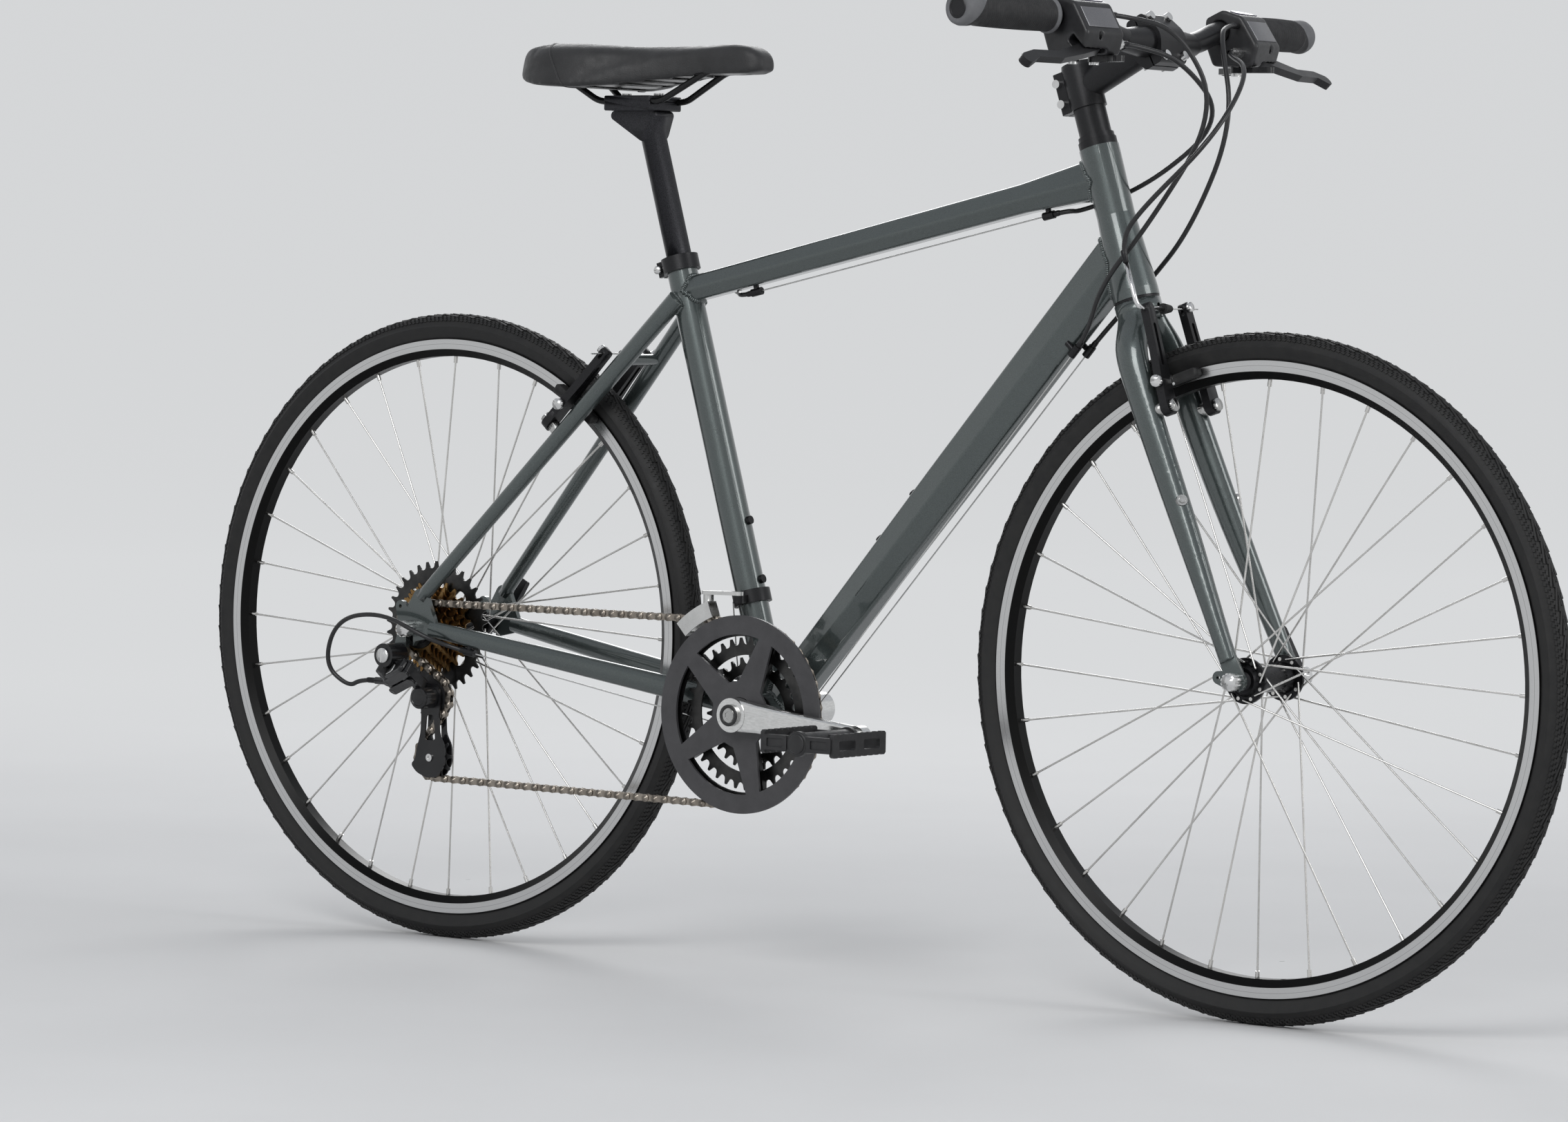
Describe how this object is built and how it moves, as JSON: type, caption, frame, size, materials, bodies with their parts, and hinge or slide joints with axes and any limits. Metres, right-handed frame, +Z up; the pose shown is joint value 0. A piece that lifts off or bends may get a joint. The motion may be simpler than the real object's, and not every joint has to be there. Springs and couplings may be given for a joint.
{
  "type": "hybrid bicycle",
  "caption": "Flat-bar hybrid bicycle with a straight tapered frame, rim brakes, derailleur gears with a chain guard, and narrow treaded tyres.",
  "frame": {"origin": "on the ground, midway between the two axles, in the middle plane", "axes": "+X forward, +Y to the rider's left, +Z up; the drive side is -Y"},
  "size_m": [1.7412, 0.6298, 1.0138],
  "materials": {
    "frame_paint": "satin metallic grey-green",
    "black_metal": "satin black",
    "silver": "polished",
    "steel": "bright",
    "chain_steel": "brown-grey, oiled",
    "dark_guard": "dark grey",
    "black_resin": "moulded",
    "tyre": "treaded",
    "rim": "black with machined brake tracks",
    "housing": "smooth black",
    "vinyl": "grained vinyl over foam",
    "grip_rubber": "ribbed, with grey ends"
  },
  "bodies": {
    "frame": {"head_tube": "frame_paint", "top_tube": "frame_paint", "down_tube": "frame_paint", "seat_tube": "frame_paint", "seat_stays": "frame_paint", "chain_stays": "frame_paint", "bearing_cups": "black_metal", "seat_collar": "black_metal", "frame_fittings": "black_metal", "inner_cables": "steel", "rear_axle": "black_metal", "chain": "chain_steel", "fd_body": "silver", "rd_b_knuckle": "black_metal"},
    "seatpost": {"seat_post": "black_metal", "saddle_base": "steel", "saddle_cover": "vinyl"},
    "steering": {"fork": "frame_paint", "stem": "black_metal", "handlebar": "black_metal", "grips": "grip_rubber", "control_bodies": "black_resin", "cockpit_hardware": "silver", "front_axle": "black_metal", "cable_housings": "housing"},
    "front_wheel": {"front_tyre": "tyre", "front_rim": "rim", "front_spokes": "steel", "front_hub": "black_metal"},
    "rear_wheel": {"rear_tyre": "tyre", "rear_rim": "rim", "rear_spokes": "steel", "rear_hub": "black_metal"},
    "crank": {"crank_arms": "silver", "chainrings": "steel", "chain_guard": "dark_guard", "crank_axles": "steel"},
    "freewheel": {"sprockets": "chain_steel"},
    "brake_lever_left": {"brake_lever_left": "black_metal"},
    "brake_lever_right": {"brake_lever_right": "black_metal"},
    "shift_lever_left": {"shift_lever_left": "black_resin"},
    "shift_lever_right": {"shift_lever_right": "black_resin"},
    "release_lever_left": {"release_lever_left": "black_resin"},
    "release_lever_right": {"release_lever_right": "black_resin"},
    "pedal_left": {"pedal_left": "black_resin"},
    "pedal_right": {"pedal_right": "black_resin"},
    "front_brake_left": {"front_brake_left": "black_metal"},
    "front_brake_right": {"front_brake_right": "black_metal"},
    "rear_brake_left": {"rear_brake_left": "black_metal"},
    "rear_brake_right": {"rear_brake_right": "black_metal"},
    "rd_outer_link": {"rd_outer_link": "black_metal"},
    "rd_inner_link": {"rd_inner_link": "black_metal"},
    "rd_p_knuckle": {"rd_p_knuckle": "black_metal"},
    "rd_cage": {"rd_cage": "black_metal"},
    "rd_guide_pulley": {"rd_guide_pulley": "black_resin"},
    "rd_tension_pulley": {"rd_tension_pulley": "black_resin"},
    "fd_link": {"fd_link": "silver"},
    "fd_cage": {"fd_cage": "silver"},
    "qr_lever_front": {"qr_lever_front": "black_metal"},
    "qr_lever_rear": {"qr_lever_rear": "black_metal"}
  },
  "joints": [
    {"name": "steering_turn", "type": "hinge", "parent": "frame", "child": "steering", "pos_m": [0.36521, 0, 0.71744], "axis": [-0.309, 0, 0.9511], "range_deg": [-70, 70], "deforming": ["cable_housings"]},
    {"name": "front_wheel_spin", "type": "hinge", "parent": "steering", "child": "front_wheel", "pos_m": [0.5265, 0, 0.344], "axis": [0, 1, 0], "continuous": true},
    {"name": "rear_wheel_spin", "type": "hinge", "parent": "frame", "child": "rear_wheel", "pos_m": [-0.5265, 0, 0.344], "axis": [0, 1, 0], "continuous": true},
    {"name": "crank_spin", "type": "hinge", "parent": "frame", "child": "crank", "pos_m": [-0.07863, 0, 0.276], "axis": [0, 1, 0], "continuous": true, "deforming": ["chain"]},
    {"name": "freewheel_spin", "type": "hinge", "parent": "frame", "child": "freewheel", "pos_m": [-0.5265, 0, 0.344], "axis": [0, 1, 0], "continuous": true},
    {"name": "pedal_right_spin", "type": "hinge", "parent": "crank", "child": "pedal_right", "pos_m": [0.09082, 0, 0.26237], "axis": [0, 1, 0], "continuous": true},
    {"name": "pedal_left_spin", "type": "hinge", "parent": "crank", "child": "pedal_left", "pos_m": [-0.24808, 0, 0.28963], "axis": [0, 1, 0], "continuous": true},
    {"name": "rd_outer_link_swing", "type": "hinge", "parent": "frame", "child": "rd_outer_link", "pos_m": [-0.545, -0.08336, 0.2895], "axis": [0, 0.6428, 0.766], "range_deg": [0, 56]},
    {"name": "rd_inner_link_swing", "type": "hinge", "parent": "frame", "child": "rd_inner_link", "pos_m": [-0.545, -0.07264, 0.2805], "axis": [0, 0.6428, 0.766], "range_deg": [0, 56]},
    {"name": "rd_p_knuckle_swing", "type": "hinge", "parent": "rd_outer_link", "child": "rd_p_knuckle", "pos_m": [-0.50792, -0.09847, 0.30217], "axis": [0, 0.6428, 0.766], "range_deg": [-56, 0]},
    {"name": "rd_cage_swing", "type": "hinge", "parent": "rd_p_knuckle", "child": "rd_cage", "pos_m": [-0.50392, -0.057, 0.26967], "axis": [0, 1, 0], "range_deg": [-40, 20], "stiffness_Nm_per_rad": 1},
    {"name": "rd_guide_pulley_spin", "type": "hinge", "parent": "rd_cage", "child": "rd_guide_pulley", "pos_m": [-0.50392, -0.057, 0.26967], "axis": [0, 1, 0], "continuous": true},
    {"name": "rd_tension_pulley_spin", "type": "hinge", "parent": "rd_cage", "child": "rd_tension_pulley", "pos_m": [-0.50333, -0.057, 0.20368], "axis": [0, 1, 0], "continuous": true},
    {"name": "fd_link_swing", "type": "hinge", "parent": "frame", "child": "fd_link", "pos_m": [-0.10066, -0.041, 0.395], "axis": [0, 0, -1], "range_deg": [0, 28]},
    {"name": "fd_cage_swing", "type": "hinge", "parent": "fd_link", "child": "fd_cage", "pos_m": [-0.13559, -0.04971, 0.395], "axis": [0, 0, -1], "range_deg": [-28, 0]},
    {"name": "brake_lever_right_pull", "type": "hinge", "parent": "steering", "child": "brake_lever_right", "pos_m": [0.40768, -0.15393, 0.96342], "axis": [-0.7027, 0.0792, -0.7071], "range_deg": [0, 20], "stiffness_Nm_per_rad": 2, "springref_deg": -5.73},
    {"name": "brake_lever_left_pull", "type": "hinge", "parent": "steering", "child": "brake_lever_left", "pos_m": [0.40768, 0.15393, 0.96342], "axis": [0.7027, 0.0792, 0.7071], "range_deg": [0, 20], "stiffness_Nm_per_rad": 2, "springref_deg": -5.73},
    {"name": "front_brake_right_swing", "type": "hinge", "parent": "steering", "child": "front_brake_right", "pos_m": [0.43211, -0.04, 0.61186], "axis": [-0.9511, 0, -0.309], "range_deg": [0, 3.5]},
    {"name": "front_brake_left_swing", "type": "hinge", "parent": "steering", "child": "front_brake_left", "pos_m": [0.43211, 0.04, 0.61186], "axis": [0.9511, 0, 0.309], "range_deg": [0, 3.5]},
    {"name": "rear_brake_right_swing", "type": "hinge", "parent": "frame", "child": "rear_brake_right", "pos_m": [-0.35989, -0.04, 0.57421], "axis": [-0.7346, 0, 0.6785], "range_deg": [0, 3.5]},
    {"name": "rear_brake_left_swing", "type": "hinge", "parent": "frame", "child": "rear_brake_left", "pos_m": [-0.35989, 0.04, 0.57421], "axis": [0.7346, 0, -0.6785], "range_deg": [0, 3.5]},
    {"name": "shift_lever_right_push", "type": "hinge", "parent": "steering", "child": "shift_lever_right", "pos_m": [0.38241, -0.1489, 0.9527], "axis": [0.0012, 0.0101, 0.9999], "range_deg": [0, 30], "stiffness_Nm_per_rad": 0.5, "springref_deg": -5.73},
    {"name": "shift_lever_left_push", "type": "hinge", "parent": "steering", "child": "shift_lever_left", "pos_m": [0.38241, 0.1489, 0.9527], "axis": [-0.0012, 0.0101, -0.9999], "range_deg": [0, 30], "stiffness_Nm_per_rad": 0.5, "springref_deg": -5.73},
    {"name": "release_lever_right_push", "type": "hinge", "parent": "steering", "child": "release_lever_right", "pos_m": [0.3948, -0.13012, 0.95249], "axis": [0.0012, 0.0101, 0.9999], "range_deg": [0, 18], "stiffness_Nm_per_rad": 0.5, "springref_deg": -5.73},
    {"name": "release_lever_left_push", "type": "hinge", "parent": "steering", "child": "release_lever_left", "pos_m": [0.3948, 0.13012, 0.95249], "axis": [-0.0012, 0.0101, -0.9999], "range_deg": [0, 18], "stiffness_Nm_per_rad": 0.5, "springref_deg": -5.73},
    {"name": "qr_lever_front_turn", "type": "hinge", "parent": "steering", "child": "qr_lever_front", "pos_m": [0.5265, 0.066, 0.344], "axis": [-0.848, 0, -0.5299], "range_deg": [0, 150]},
    {"name": "qr_lever_rear_turn", "type": "hinge", "parent": "frame", "child": "qr_lever_rear", "pos_m": [-0.5265, 0.0845, 0.344], "axis": [-0.8829, 0, 0.4695], "range_deg": [0, 150]},
    {"name": "seatpost_slide", "type": "slide", "parent": "frame", "child": "seatpost", "axis": [-0.2823, 0, 0.9593], "range_m": [-0.08, 0.09]}
  ],
  "couplings": [
    {"joint": "freewheel_spin", "follows": "crank_spin", "ratio": 3.4286},
    {"joint": "rd_inner_link_swing", "follows": "rd_outer_link_swing", "ratio": 1},
    {"joint": "rd_p_knuckle_swing", "follows": "rd_outer_link_swing", "ratio": -1},
    {"joint": "rd_guide_pulley_spin", "follows": "crank_spin", "ratio": -4.3636},
    {"joint": "rd_tension_pulley_spin", "follows": "crank_spin", "ratio": 4.3636},
    {"joint": "fd_cage_swing", "follows": "fd_link_swing", "ratio": -1},
    {"joint": "front_brake_right_swing", "follows": "brake_lever_left_pull", "ratio": 0.175},
    {"joint": "front_brake_left_swing", "follows": "brake_lever_left_pull", "ratio": 0.175},
    {"joint": "rear_brake_right_swing", "follows": "brake_lever_right_pull", "ratio": 0.175},
    {"joint": "rear_brake_left_swing", "follows": "brake_lever_right_pull", "ratio": 0.175}
  ]
}
